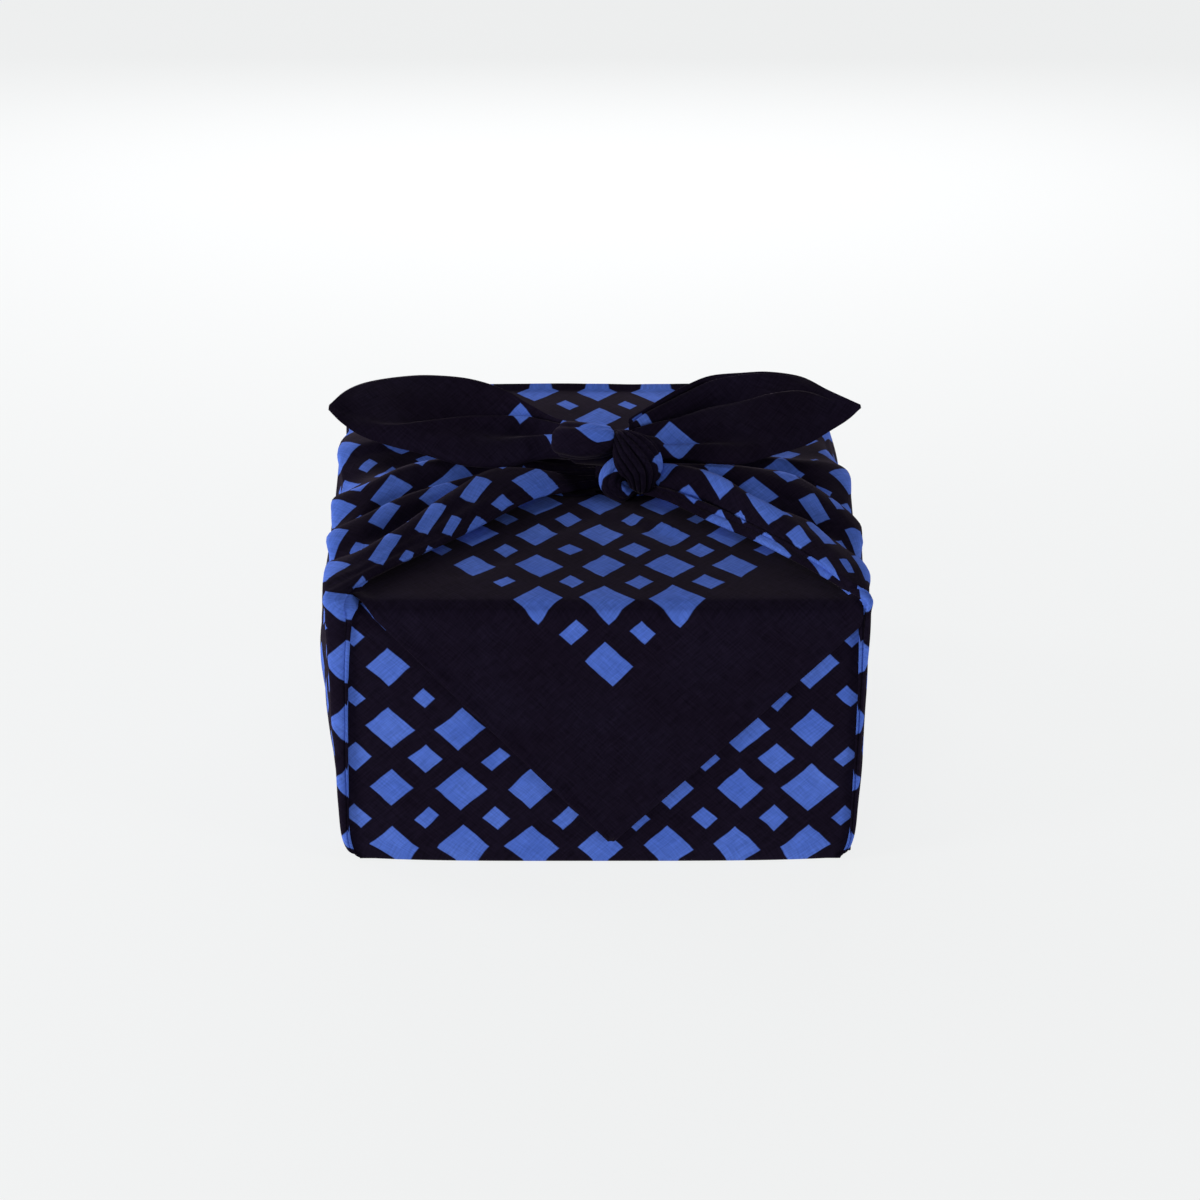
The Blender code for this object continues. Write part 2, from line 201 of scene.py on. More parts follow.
# Small creases of the ends over the top: a line seen from above, on the right side, its half width, and
# how far it stands up, or down where it is a trough.
LEFT_CREASES = (
    (((92, -80), (78, -66), (62, -48), (47, -29)), 3.0, -0.9),
    (((97, -62), (84, -54), (72, -44), (60, -28)), 1.9, 0.8),
    (((101, -40), (94, -34), (84, -20), (72, -10)), 2.2, 0.8),
    (((101, -4), (92, 4), (80, 10), (66, 10)), 2.2, -0.9),
    (((100, 14), (90, 19), (76, 19), (62, 14)), 2.0, 0.9),
    (((98, 40), (84, 40), (66, 34), (46, 22)), 2.6, 0.9),
    (((92, 74), (78, 64), (60, 50), (40, 32)), 2.6, -0.8),
)
RIGHT_CREASES = (
    (((43, -20), (62, -38), (71, -50), (86, -71), (94, -82)), 1.9, 0.9),
    (((48, -18), (64, -36), (77, -52), (88, -62)), 2.0, -0.8),
    (((79, -47), (88, -55), (94, -66), (97, -78)), 1.9, 0.9),
    (((97, -48), (90, -34), (82, -24), (66, -14)), 2.2, 0.8),
    (((97, -18), (90, -10), (78, -1), (60, 2)), 2.0, 0.9),
    (((95, 30), (82, 27), (64, 22), (44, 15)), 2.4, 0.9),
    (((86, 66), (72, 58), (54, 44), (36, 28)), 2.6, -0.8),
)
LEFT_BULGE = 10.4
RIGHT_BULGE = 4.0
# The folded edge that laps round a vertical edge of the box, front to back: how far each line is from
# the lip toward the corner, its depth behind the belt's face, and its place behind and above the lip on
# top.
LAP_LINES = (
    # name, x, depth behind the face, y behind the lip at each top station, z from the lip on top
    ("return_end", 96.2, 89.4, (58, 53, 46, 38, 30, 22, 16), None),
    ("return_middle", 96.2, 45.4, (30, 28, 25, 22, 20, 16, 13), None),
    ("return_turn", 96.2, 1.6, (6, 7, 9, 11, 13, 12, 9), None),
    ("tuck", 0.15, 0.0, (1.4, 1.4, 1.4, 1.4, 1.3, 1.0, 0.6), -0.9),
    ("lip", 0.0, -1.0, (0, 0, 0, 0, 0, 0, 0), 0.0),
    ("shoulder", 0.40, -1.9, (1.1, 1.1, 1.1, 1.1, 1.0, 0.8, 0.5), 0.8),
    ("corner", 1.0, -0.2, (3.6, 3.6, 3.6, 3.2, 2.4, 1.6, 1.0), 1.5),
)
# Where the lip and the corner are across the face that they lap over, at the base and at the top.
LEFT_LAP = ((95.8, 93.8), (97.4, 100.4))
RIGHT_LAP = ((94.9, 96.6), (95.9, 98.2))
LEFT_BACK_LAP = ((94.8, 93.0), (96.6, 95.4))
RIGHT_BACK_LAP = ((94.8, 88.0), (96.6, 90.2))
# Behind the folded edge, up to the first fold: share of the way, and how far the cloth drops there.
ROLL_BELLY = ((0.12, -0.1), (0.32, -1.0), (0.64, -1.1))
STRIP_BELLY = ((0.15, 0.5), (0.45, -0.7), (0.76, 1.4), (0.95, 2.7))
# The laps are drawn in at the base, and the rear ones lean in near the top.
LAP_DRAWN_IN = 5.0
LAP_ROUNDING = 3.4
RETURN_LEAST_HEIGHT = 1.5
REAR_LEAN_FROM = 82
REAR_LEAN_HEIGHT = 27
REAR_CORNER_PULL = 0.22
# Wrinkles of the ends: height and width of the soft waves, height of the fine ones on the wall and what
# is added toward the knot, and where from the cloth's middle they start and gather, and over what run.
END_WAVE = (0.55, 26)
END_GATHERS = (0.25, 0.65)
WRINKLES_START = (100, 25)
GATHERS_START = (215, 80)
STEPS_ALONG_END = 5
STEPS_ACROSS_END = 3

# The tails, from the knot out to the free tip. Each line has its places in depth and its heights at
# these distances from the middle of the box.
LEFT_TAIL_STATIONS = (8.0, 18.0, 28.0, 38.0, 52.0, 66.0, 80.0, 92.0, 100.0, 105.5)
LEFT_TAIL = (
    ("low",
     (-6, -3, -4, -7.2, -6.5, -1.5, 1.8, 4.8, 9.5, 13),
     (126.5, 124, 122.5, 122, 122.6, 124.2, 126.2, 129.5, 133, 137.2)),
    ("roll",
     (-5, 0.5, 2, 1, 0, 1.8, 3, 6, 10.5, 13.4),
     (132, 131.3, 130.3, 129, 128.3, 128.5, 129, 130.8, 133.5, 137.25)),
    ("groove",
     (-2, 5, 8, 7.5, 7, 6, 4.8, 7.6, 12, 13.8),
     (131, 129.6, 128.4, 129.6, 131.6, 131.4, 131, 132, 134, 137.3)),
    ("ridge",
     (0, 8, 12, 12.3, 12, 10.3, 7.5, 10.5, 14, 14.2),
     (134.8, 133.8, 134.4, 134.8, 134.8, 133.8, 132.8, 133, 134.5, 137.4)),
    ("slip",
     (0.6, 8.8, 12.9, 13.2, 13.0, 11.4, 9.4, 13.2, 15.5, 14.5),
     (133.6, 132.0, 132.0, 132.2, 132.4, 132.1, 132.4, 133.5, 134.8, 137.45)),
    ("valley",
     (2, 10, 14.6, 15.4, 15.8, 14.6, 12.8, 16, 17, 14.8),
     (133, 130.6, 130, 130.2, 130.8, 131.6, 133, 134.3, 135.2, 137.5)),
    ("panel",
     (3, 10.5, 17, 22, 25, 26, 25, 24.5, 22, 15.4),
     (134.5, 134, 134.5, 135.3, 136.4, 136.8, 137.2, 137.3, 136.8, 137.6)),
    ("up",
     (4, 11, 19, 27.5, 33, 35.8, 35.3, 32.8, 27.5, 16),
     (135, 135, 137.2, 139.5, 141.4, 141.6, 141, 139.7, 138.3, 137.7)),
)
RIGHT_TAIL_STATIONS = (12.0, 24.0, 34.0, 44.0, 56.0, 68.0, 80.0, 90.0, 97.0, 102.0)
RIGHT_TAIL = (
    ("low",
     (-6, -4.1, -3.8, -5.7, -7.4, -2.3, 2.6, 9.3, 12.6, 12.9),
     (127, 124.8, 123.5, 123, 123.8, 125, 126.8, 130, 133.3, 138.2)),
    ("roll",
     (-4, -0.5, 1.2, 0.5, -1.5, 1.2, 5.3, 11, 13.4, 13.1),
     (130.5, 128, 127.4, 127.3, 127.4, 127.8, 129.4, 131.6, 134.2, 138.3)),
    ("valley",
     (-2, 3, 4.5, 4.5, 3.5, 5.5, 9, 13.2, 14.3, 13.3),
     (130.3, 127, 126.6, 127.2, 128.8, 130.2, 131.8, 133.2, 135.1, 138.4)),
    ("panel",
     (0, 6, 9, 11.5, 11.5, 13, 15.5, 16.5, 15.6, 13.5),
     (132.5, 130.5, 130.8, 131.8, 133, 134.8, 136, 135.6, 136.3, 138.5)),
    ("edge",
     (2, 9.5, 14.5, 19.8, 21, 21.5, 23.5, 20.5, 17, 13.7),
     (134, 133.6, 134.2, 135, 137.3, 140.2, 140.2, 138, 137.5, 138.55)),
    ("slip",
     (2.3, 10.3, 15.6, 20.9, 22.2, 22.7, 24.4, 21.0, 17.2, 13.75),
     (133.4, 131.9, 131.8, 132.5, 134.6, 137.8, 139.4, 138.0, 137.6, 138.57)),
    ("hollow",
     (3, 12.5, 20, 26, 28, 28.5, 28, 22.5, 17.8, 13.9),
     (133.5, 131.0, 131.5, 132.2, 134.5, 139.1, 141, 138.8, 138.1, 138.6)),
    ("crest",
     (5, 17, 27, 32.8, 34, 33, 31.5, 24.2, 18.6, 14.1),
     (135.5, 136.2, 137.3, 139.8, 141.6, 142.6, 141.8, 139.5, 138.6, 138.6)),
    ("groove",
     (6.5, 19.5, 29.5, 35.2, 35.2, 34, 32.6, 24.9, 19, 14.2),
     (134.5, 135.2, 136.3, 139.1, 141.7, 142.9, 141.9, 139.8, 138.9, 138.65)),
    ("up",
     (8, 21.5, 31.3, 37, 36, 35, 33.6, 25.5, 19.4, 14.4),
     (136, 138, 139.3, 141, 142.7, 143.4, 142, 140, 139.1, 138.7)),
)
# The tail's folded-under edge, behind and above its lower edge, its hem, and its wrinkles: height and
# width of the soft waves and of the fine ones, and height and reach of the pleats at the knot.
UNDER_FOLD = ((20.0, 3.4), (7.0, 0.9))
TAIL_HEM = 3.8
TAIL_WAVE = (0.7, 24)
TAIL_FINE_WAVE = (0.35, 7)
TAIL_PLEATS = (1.5, 26)
TAIL_STEPS_ALONG = 6
TAIL_STEPS_ACROSS = 4

# The knot's strands of gathered cloth. Each has a centre line, half widths, half thicknesses, how many
# pleats go round it and how deep they are, where its cloth is on the flat square and which way it runs
# there, and over which angles and beyond what distance its print shows.
KNOT_STRANDS = {
    "core": {
        "centres": ((-14, 3, 124), (-6, 1, 125), (6, 0, 126), (18, 0, 126), (28, 2, 124)),
        "widths": (4.0, 5.0, 6.0, 5.5, 4.0),
        "thicknesses": (4.0, 5.0, 6.5, 5.5, 4.0),
        "sides": 36,
        "pleats": 6,
        "depth": 0.08,
        "place": (440.0, 0.0, 1),
        "print_from": (0, 0),
    },
    "left_band": {
        "centres": (
            (-14.6, 0.6, 130.6), (-12, -2.4, 131.6), (-6, -6, 132.6),
            (0, -7.6, 133.2), (7, -7, 134),
        ),
        "widths": (6.4, 6.9, 7.1, 6.4, 5.0),
        "thicknesses": (5.4, 5.9, 6.1, 5.8, 4.4),
        "sides": 60,
        "pleats": 6,
        "depth": 0.20,
        "turned_in": 0.09,
        "place": (190.8, 22.8, 1),
        "print_from": (60, 200),
        "plain_start": 6.5,
    },
    "fan": {
        "centres": (
            (5.9, -4.5, 136.4), (8.6, -8.6, 134.6), (12.6, -11.8, 130.8),
            (16.4, -13.6, 125), (16.6, -13.8, 119), (15.6, -12.0, 113.0),
        ),
        "widths": (1.9, 4.4, 8.0, 8.0, 5.4, 2.6),
        "thicknesses": (1.8, 3.2, 4.4, 4.8, 4.0, 2.4),
        "sides": 120,
        "pleats": 16,
        "depth": 0.62,
        "place": (410.0, -13.0, -1),
        "print_from": (105, 230),
        "plain_start": 17,
    },
    "lower_loop": {
        "centres": (
            (15, -5.5, 127), (9.5, -9.4, 124.6), (5.4, -11.6, 121.2),
            (4.9, -12.6, 117.6), (8.4, -13.0, 114.8), (14.5, -11.8, 114.4),
        ),
        "widths": (3.0, 4.0, 4.7, 4.5, 4.0, 3.0),
        "thicknesses": (3.2, 4.0, 4.4, 4.4, 3.8, 3.0),
        "sides": 72,
        "pleats": 9,
        "depth": 0.30,
        "place": (225.4, 33.2, 1),
        "print_from": (0, 360),
    },
}
KNOT_MIDDLE = (6.0, 2.0, 118.0)
STRAND_STEPS = 6
TURNED_IN = 0.16

# The studio, in metres and watts: a floor that glows, so that it stays pale, and soft lights.
FLOOR_RADIUS = 6.0
FLOOR_GLOW = 0.835
ROOM_LIGHT = 0.02
CAMERA_TARGET = Vector((0.0, 0.0, 0.055))
CAMERA_DISTANCE = 1.344
CAMERA_ELEVATION = math.radians(28.0)
CAMERA_YAW = math.radians(0.656)
CAMERA_ROLL = math.radians(0.32)
CAMERA_LENS = 101.3
CAMERA_SHIFT = (1.386 / 1200, 11.40 / 1200)
LIGHTS_AIM = (0.0, 0.0, 0.07)
SOFT_LIGHTS = (
    # name, place, width, height, power
    ("back_softbox", (0.0, 0.75, 0.30), 0.7, 0.2, 6.5),
    ("left_rear_softbox", (-1.3, 0.5, 0.50), 0.5, 0.6, 7.5),
    ("left_softbox", (-1.3, -0.6, 0.42), 0.4, 0.5, 12.0),
    ("right_softbox", (1.3, -0.7, 0.42), 0.4, 0.5, 8.0),
    ("top_softbox", (-0.15, 0.0, 1.5), 0.7, 0.7, 3.5),
    ("front_softbox", (-0.4, -1.4, 0.9), 0.4, 0.4, 3.2),
)


def curve_through(points, steps):
    """Points of a smooth curve through the given points, with that many steps between two of them."""
    points = np.asarray(points, float)
    padded = np.vstack((2 * points[0] - points[1], points, 2 * points[-1] - points[-2]))
    shares = np.arange(steps)[:, None] / steps
    result = []
    for before, here, there, after in zip(padded, padded[1:], padded[2:], padded[3:]):
        bend = 2 * before - 5 * here + 4 * there - after
        twist = -before + 3 * here - 3 * there + after
        result.append(here + 0.5 * (shares * (there - before) + shares**2 * bend + shares**3 * twist))
    return np.vstack(result + [points[-1:]])


def surface_through(table, steps_along, steps_across):
    """A smooth grid of points through a table whose rows are lines of points."""
    lines = np.array([curve_through(line, steps_along) for line in table])
    rows = [curve_through(lines[:, column], steps_across) for column in range(lines.shape[1])]
    return np.array(rows)


def steps_between(points):
    return np.linalg.norm(np.diff(points, axis=0), axis=-1)


def reach_along(points):
    """Distance along a line of points from its start to each of them."""
    return np.concatenate(([0.0], np.cumsum(steps_between(points))))


def ripple(x, y, scale, seed=0.0):
    """A soft uneven value between about -1 and 1, with waves of about the given size."""
    return noise.noise(Vector((x / scale, y / scale, seed)))


def ease(value):
    """Runs smoothly from 0 to 1 as the value does."""
    value = min(max(value, 0.0), 1.0)
    return value * value * (3 - 2 * value)


class ClothMesh:
    """Grids of cloth joined into one mesh. Each point has its place on the flat square, and how much of
    the print shows there: on the knot's strands only over their given angles and reach, and none in the
    gathers at the knot, where the plain navy is painted shade."""

    def __init__(self):
        self.points = []
        self.places = []
        self.shown = []
        self.faces = []

    def add_grid(self, points, places, outward, closed=False, shown=1.0):
        rows, columns = points.shape[:2]
        start = len(self.points)
        self.points.extend(points.reshape(-1, 3) * MM)
        self.places.extend(places.reshape(-1, 2) * MM)
        self.shown.extend(np.broadcast_to(shown, (rows, columns)).ravel())
        row, column = rows // 2, columns // 2
        middle = points[row, column]
        normal = np.cross(middle - points[row, column - 1], middle - points[row - 1, column])
        turned = np.dot(normal, outward) > 0
        for row in range(rows - 1):
            for column in range(columns if closed else columns - 1):
                beside = (column + 1) % columns
                here = start + row * columns
                above = here + columns
                face = (here + column, here + beside, above + beside, above + column)
                self.faces.append(face if turned else face[::-1])

    def make(self, name):
        mesh = bpy.data.meshes.new(name)
        mesh.from_pydata([tuple(point) for point in self.points], [], self.faces)
        layer = mesh.uv_layers.new(name="cloth_place")
        corners = np.zeros(len(mesh.loops), np.int32)
        mesh.loops.foreach_get("vertex_index", corners)
        layer.data.foreach_set("uv", np.array(self.places, np.float32)[corners].ravel())
        shown = mesh.attributes.new("print_layout_and_painted_shade", "FLOAT", "POINT")
        shown.data.foreach_set("value", np.array(self.shown, np.float32))
        mesh.polygons.foreach_set("use_smooth", [True] * len(mesh.polygons))
        piece = bpy.data.objects.new(name, mesh)
        bpy.context.scene.collection.objects.link(piece)
        return piece


def rounded_path(corners, radii, step):
    """A path in the Y-Z plane along straight runs, with its corners rounded to arcs."""
    corners = [np.array(corner, float) for corner in corners]
    path = [corners[0]]
    for before, here, after, radius in zip(corners, corners[1:], corners[2:], radii):
        toward = (before - here) / np.linalg.norm(before - here)
        away = (after - here) / np.linalg.norm(after - here)
        centre = here + radius * (toward + away)
        add_run(path, here + radius * toward, step)
        for turn in np.linspace(0, math.pi / 2, 7)[1:]:
            path.append(centre - radius * (away * math.cos(turn) + toward * math.sin(turn)))
    add_run(path, corners[-1], step)
    return np.array(path)


def add_run(path, end, step):
    start = path[-1]
    count = max(1, round(np.linalg.norm(end - start) / step))
    for index in range(1, count + 1):
        path.append(start + (end - start) * index / count)


def belt_path():
    """The belt's section from the near tip to the far tip, with the distance of each point from its
    nearer tip and its place along the flat cloth."""
    inner_top = TOP - LAYER_STEP
    inner_back = BACK - LAYER_STEP
    outer_front = -FRONT - LAYER_STEP
    near_tip = (inner_back, inner_top - 96.0)
    near = ((0, BASE), (-FRONT, BASE), (-FRONT, inner_top), (inner_back, inner_top), near_tip)
    far = ((0, BASE), (BACK, BASE), (BACK, TOP), (outer_front, TOP), (outer_front, FLAP_TIP[1]))
    near_path = rounded_path(near, NEAR_RADII, NEAR_ROW_STEP)
    far_path = rounded_path(far, FAR_RADII, FAR_ROW_STEP)
    near_reach, far_reach = reach_along(near_path), reach_along(far_path)
    path = np.vstack((near_path[:0:-1], far_path))
    from_tip = np.concatenate((near_reach[-1] - near_reach[:0:-1], far_reach[-1] - far_reach))
    shares = np.concatenate((-near_reach[:0:-1] / near_reach[-1], far_reach / far_reach[-1]))
    return path, from_tip, shares * HALF_DIAGONAL, np.arange(len(path)) >= len(near_path) - 1


def belt_edges(from_tip, is_far):
    if is_far:
        left = max(-BELT_HALF_WIDTH, FLAP_TIP[0] - TIP_HALF_WIDTH - FLAP_LEFT_SLOPE * from_tip)
        right = min(BELT_HALF_WIDTH, FLAP_TIP[0] + TIP_HALF_WIDTH + FLAP_RIGHT_SLOPE * from_tip)
        return left, right
    reach = min(BELT_HALF_WIDTH, TIP_HALF_WIDTH + from_tip)
    return -reach, reach


def belt_columns(left, right):
    """Columns across the belt: a hem strip at each edge, and even columns between them."""
    hem = min(HEM_WIDTH * math.sqrt(2), 0.3 * (right - left))
    shares = np.array((0.0, 0.1, 0.85, 1.0)) * hem
    middle = np.linspace(left + hem, right - hem, BELT_COLUMNS)[1:-1]
    return np.concatenate((left + shares, middle, right - shares[::-1])), hem


def face_swell(x, y, z):
    """How far the front and back stand out, most in their middle."""
    if -FRONT + 0.1 < y < BACK - LAYER_STEP - 0.1:
        return 0.0
    height = min(max(z / TOP, 0.0), 1.0)
    upright = 0.85 + 0.15 * math.sin(math.pi * height)
    return FACE_PILLOW * max(1 - abs(x / BOX_HALF_WIDTH) ** 4, 0) * upright


def top_pull(x, y):
    """How far the top cloth is pushed down and creased by the knot and swags that lie on it."""
    crease = 0.0
    for place_x, place_y, toward, long, wide, deep in TOP_CREASES:
        turn = math.radians(toward)
        along = (x - place_x) * math.cos(turn) + (y - place_y) * math.sin(turn)
        aside = -(x - place_x) * math.sin(turn) + (y - place_y) * math.cos(turn)
        crease -= deep * math.exp(-((along / long) ** 2) - (aside / wide) ** 2)
    return crease


def make_belt(cloth):
    """The belt from its near corner, up the front, over the top and round, to the flap's tip."""
    path, from_tip, along, is_far = belt_path()
    heading = np.gradient(path, axis=0)
    heading /= np.linalg.norm(heading, axis=1)[:, None]
    grid, places = [], []
    for row, (y, z) in enumerate(path):
        left, right = belt_edges(from_tip[row], is_far[row])
        columns, hem = belt_columns(left, right)
        tapers = max(left + BELT_HALF_WIDTH, BELT_HALF_WIDTH - right) > 0
        out_y, out_z = heading[row][1], -heading[row][0]
        on_top = ease((z - (TOP - LAYER_STEP - 4)) / 3) * (3 - FRONT < y < BACK - 3)
        on_base = z < 2
        line, flat = [], []
        for x in columns:
            raised = face_swell(x, y, z)
            if not on_base:
                for tall, wide, seed in BELT_WAVES:
                    raised += tall * ripple(x, along[row], wide, seed)
            if on_top:
                raised += top_pull(x, y)
            from_edge = min(x - left, right - x)
            if tapers and from_edge < hem * 0.9:
                raised += HEM_RISE
            if is_far[row] and tapers:
                tall, wide, seed = FREE_EDGE_WAVE
                uneven = 1 + tall * ripple(x, z, wide, seed)
                raised += FREE_EDGE_RISE * ease(1 - from_edge / FREE_EDGE_WIDTH) * uneven
            rear_top = ease((y - 50) / 42) * ease((z - 84) / 26)
            over_top = ease((y + 90) / 24) * ease((z - 102) / 6)
            drawn_in = 1 - BASE_NARROWING * ease(1 - z / BASE_ROUNDING)
            drawn_in -= max(REAR_NARROWING[int(x > 0)] * rear_top, TOP_NARROWING * over_top)
            lowered = REAR_CORNER_DROP * ease((abs(x) - 82) / 12) * rear_top
            depth = y + out_y * raised - 0.6 * lowered
            line.append((x * drawn_in, depth, max(z + out_z * raised - lowered, BASE)))
            toward_tip = ease(1 - from_tip[row] / FLAP_LENGTH) if is_far[row] else 0.0
            slope = FLAP_LEFT_SLOPE if x < FLAP_TIP[0] else FLAP_RIGHT_SLOPE
            spread = 1 + (1 / slope - 1) * toward_tip
            flat.append(((x - FLAP_TIP[0] * toward_tip) * spread, along[row]))
        grid.append(line)
        places.append(flat)
    cloth.add_grid(np.array(grid), np.array(places), outward=(0, 0, -1))


def make_ears(cloth):
    """The belt's cloth beyond its edges, turned in round the vertical edges behind the end walls."""
    for side in (-1, 1):
        for facing, face in ((-1, FRONT), (1, BACK)):
            turn = [(BELT_HALF_WIDTH - 1.2, face), (BELT_HALF_WIDTH - 0.6, face - 0.5)]
            turn.append((EAR_REACH, face - 1.8))
            turn += [(EAR_REACH, y) for y in np.linspace(face - 6, face - EAR_LENGTH, EAR_COLUMNS)]
            turn = np.array(turn)
            reach = reach_along(turn)
            grid, places = [], []
            for z in EAR_HEIGHTS:
                slack = REAR_EAR_SLACK * ease((z - 70) / 26) * (facing > 0)
                grid.append([(side * (x - slack), facing * y, z) for x, y in turn])
                places.append([(side * (BELT_HALF_WIDTH + r), facing * (face + z)) for r in reach])
            cloth.add_grid(np.array(grid), np.array(places), outward=(side, 0, 0))


def wall_swell(y, amount):
    """How far an end wall stands out there, most in its middle."""
    return amount * max(1 - abs(y / FRONT) ** 2.6, 0)


def end_line(fold, bulge, sink=0.0):
    """One fold of an end's cloth, from the base up the wall and over to the knot, on the right side."""
    wall_y, brow_x, _, _, top_y, top_z = fold
    line = []
    for (height, out, swell, relief), to_brow in zip(WALL_STATIONS, BROW_SHARE):
        own = BOX_HALF_WIDTH + out + swell * wall_swell(wall_y, bulge)
        line.append((own + (brow_x - own) * to_brow - 0.55 * sink * relief, wall_y, height))
    first = min(TOP_STATIONS[0], brow_x - 6.0)
    for x, y, z, relief in zip((first,) + TOP_STATIONS[1:], top_y, top_z, TOP_RELIEF):
        line.append((x, y, z - sink * relief))
    return np.array(line, float)


def lap_lines(fold, facing, strip):
    """Lines of the folded edge that laps round a vertical edge of the box, from the hidden return to
    the corner."""
    lines = []
    _, brow_x, _, _, top_y, top_z = fold
    top_z = np.array(top_z)
    heights = np.array([station[0] for station in WALL_STATIONS])
    if facing < 0:
        lean = heights / heights[-1]
    else:
        lean = np.array([ease((height - REAR_LEAN_FROM) / REAR_LEAN_HEIGHT) for height in heights])
    (lip_base, lip_top), (corner_base, corner_top) = strip
    lip_x = lip_base + (lip_top - lip_base) * lean
    corner_x = corner_base + (corner_top - corner_base) * np.minimum(1.15 * lean**0.75, 1.0)
    drawn_in = LAP_DRAWN_IN * np.exp(-heights / LAP_ROUNDING)
    to_brow = np.array(BROW_SHARE)
    face = FRONT if facing < 0 else BACK
    for name, wall_x, from_face, behind, rise in LAP_LINES:
        hidden = rise is None
        wall_y = from_face - face
        top = np.column_stack((TOP_STATIONS, top_y - facing * np.array(behind), top_z))
        top[0, 0] = min(TOP_STATIONS[0], brow_x - (7.0 if hidden else 4.5))
        wall = np.zeros((len(heights), 3))
        wall[:, 2] = heights
        if hidden:
            behind_lip = wall_x - np.minimum(wall_x, lip_x - 0.7)
            wall[:, 0] = wall_x - behind_lip * abs(wall_y) / face
            wall[:, 0] += (min(wall_x, brow_x) - 3.2 - wall_x) * to_brow - 1.3 * drawn_in
            wall[:, 1] = facing * (-wall_y - 3.0 * to_brow**3)
            wall[:, 2] = np.maximum(heights, RETURN_LEAST_HEIGHT)
            wall[-2:, 2] = RETURN_HEIGHT - 6.0, RETURN_HEIGHT - 3.4
            top[:, 2] = RETURN_HEIGHT
        else:
            wall[:, 0] = lip_x + (corner_x - lip_x) * wall_x - drawn_in
            wall[:, 1] = facing * (-wall_y - 1.15 * drawn_in)
            top[:, 2] = top_z + rise
            wall[-1, 2] = top_z[0] + rise - 1.2
            wall[-2, 2] = min(wall[-2, 2], wall[-1, 2] - 4.5)
        if facing > 0:
            wall[-1, 1] += REAR_CORNER_PULL * (top[0, 1] - wall[-1, 1])
        lines.append((name, np.vstack((wall, top))))
    return lines if facing < 0 else lines[::-1]


def between(first, second, share, drop, valley_floor):
    """A line between two others, sunk by drop over the top and toward the box on the wall."""
    line = first + (second - first) * share
    walls = len(WALL_STATIONS)
    relief = np.array([station[3] for station in WALL_STATIONS])
    line[:walls, 0] -= 0.5 * drop * relief
    line[walls - 1 :, 2] -= drop * np.array((0.6,) + TOP_RELIEF)
    if valley_floor:
        line[walls:, 2] = np.maximum(line[walls:, 2], LEAST_VALLEY)
    return line


def end_lines(folds, bulge, front_lap, rear_lap):
    """All lines of an end from front to back, each with the crest that its print is measured from."""
    crests = [end_line(fold, bulge) for fold in folds[1:-1]]
    first = 2 if folds[1][3] == "edge" else 1
    lines = [(name, line, first) for name, line in lap_lines(folds[0], -1, front_lap)]
    edge = lines[-1][1]
    for share, drop in STRIP_BELLY if folds[1][3] == "edge" else ROLL_BELLY:
        lines.append(("belly", between(edge, crests[0], share, drop, False), first))
    for index, fold in enumerate(folds[1:-1]):
        crest = crests[index]
        lines.append(("crest", crest, max(index + 1, first)))
        if index + 1 == len(crests):
            break
        following, sink, faces = crests[index + 1], fold[2], fold[3]
        if faces == "edge":
            lines.append(("foot", between(crest, following, 0.10, -0.6, False), index + 2))
            lines.append(("foot", between(crest, following, 0.50, -1.2, False), index + 2))
        elif folds[index + 2][3] == "front":
            lines.append(("fall", between(crest, following, 0.10, 0.42 * sink, True), index + 1))
            lines.append(("fall", between(crest, following, 0.22, 0.95 * sink, True), index + 1))
            lines.append(("foot", between(crest, following, 0.42, 0.72 * sink, True), index + 2))
            lines.append(("foot", between(crest, following, 0.76, 0.12 * sink, True), index + 2))
        elif faces == "front":
            lines.append(("fall", between(crest, following, 0.14, 0.45 * sink, True), index + 1))
            lines.append(("middle", between(crest, following, 0.50, 1.0 * sink, True), index + 1))
            lines.append(("fall", between(crest, following, 0.86, 0.45 * sink, True), index + 2))
        else:
            lines.append(("back_foot", between(crest, following, 0.24, 0.12 * sink, True), index + 1))
            lines.append(("back_foot", between(crest, following, 0.58, 0.72 * sink, True), index + 1))
            lines.append(("fall", between(crest, following, 0.78, 0.95 * sink, True), index + 2))
            lines.append(("fall", between(crest, following, 0.90, 0.42 * sink, True), index + 2))
    back_lap = lap_lines(folds[-1], 1, rear_lap)
    lines.append(("back_belly", between(crests[-1], back_lap[0][1], 0.5, -1.0, False), len(crests)))
    lines += [(f"back_{name}", line, len(crests)) for name, line in back_lap]
    return lines, crests


def print_places(lines, crests, folds):
    """Where each point of an end's lines is on the flat cloth. Across a fold's slope the print keeps
    its size, and what is left over is taken up in the hidden fall behind the crest."""
    points = np.array([line for _, line, _ in lines])
    across = np.vstack((np.zeros(points.shape[1]), np.cumsum(steps_between(points), axis=0)))
    at_crest = {}
    for number, (name, _, crest) in enumerate(lines):
        if name == "crest":
            at_crest[crest] = number
    along = np.zeros(across.shape)
    for number, (_, _, crest) in enumerate(lines):
        along[number] = folds[crest][0] + across[number] - across[at_crest[crest]]
    seen = [number for number, (name, _, _) in enumerate(lines) if name not in ("fall", "middle")]
    for before, after in zip(seen, seen[1:]):
        for number in range(before + 1, after):
            share = (across[number] - across[before]) / (across[after] - across[before])
            along[number] = along[before] + (along[after] - along[before]) * share
    away = np.array([reach_along(crests[crest - 1]) for _, _, crest in lines]) + BOX_HALF_WIDTH - 2.0
    return np.stack((away, along), axis=-1)


def grid_normals(grid):
    down = np.gradient(grid, axis=0)
    aside = np.gradient(grid, axis=1)
    normal = np.cross(aside, down)
    return normal / np.maximum(np.linalg.norm(normal, axis=-1, keepdims=True), 1e-9)


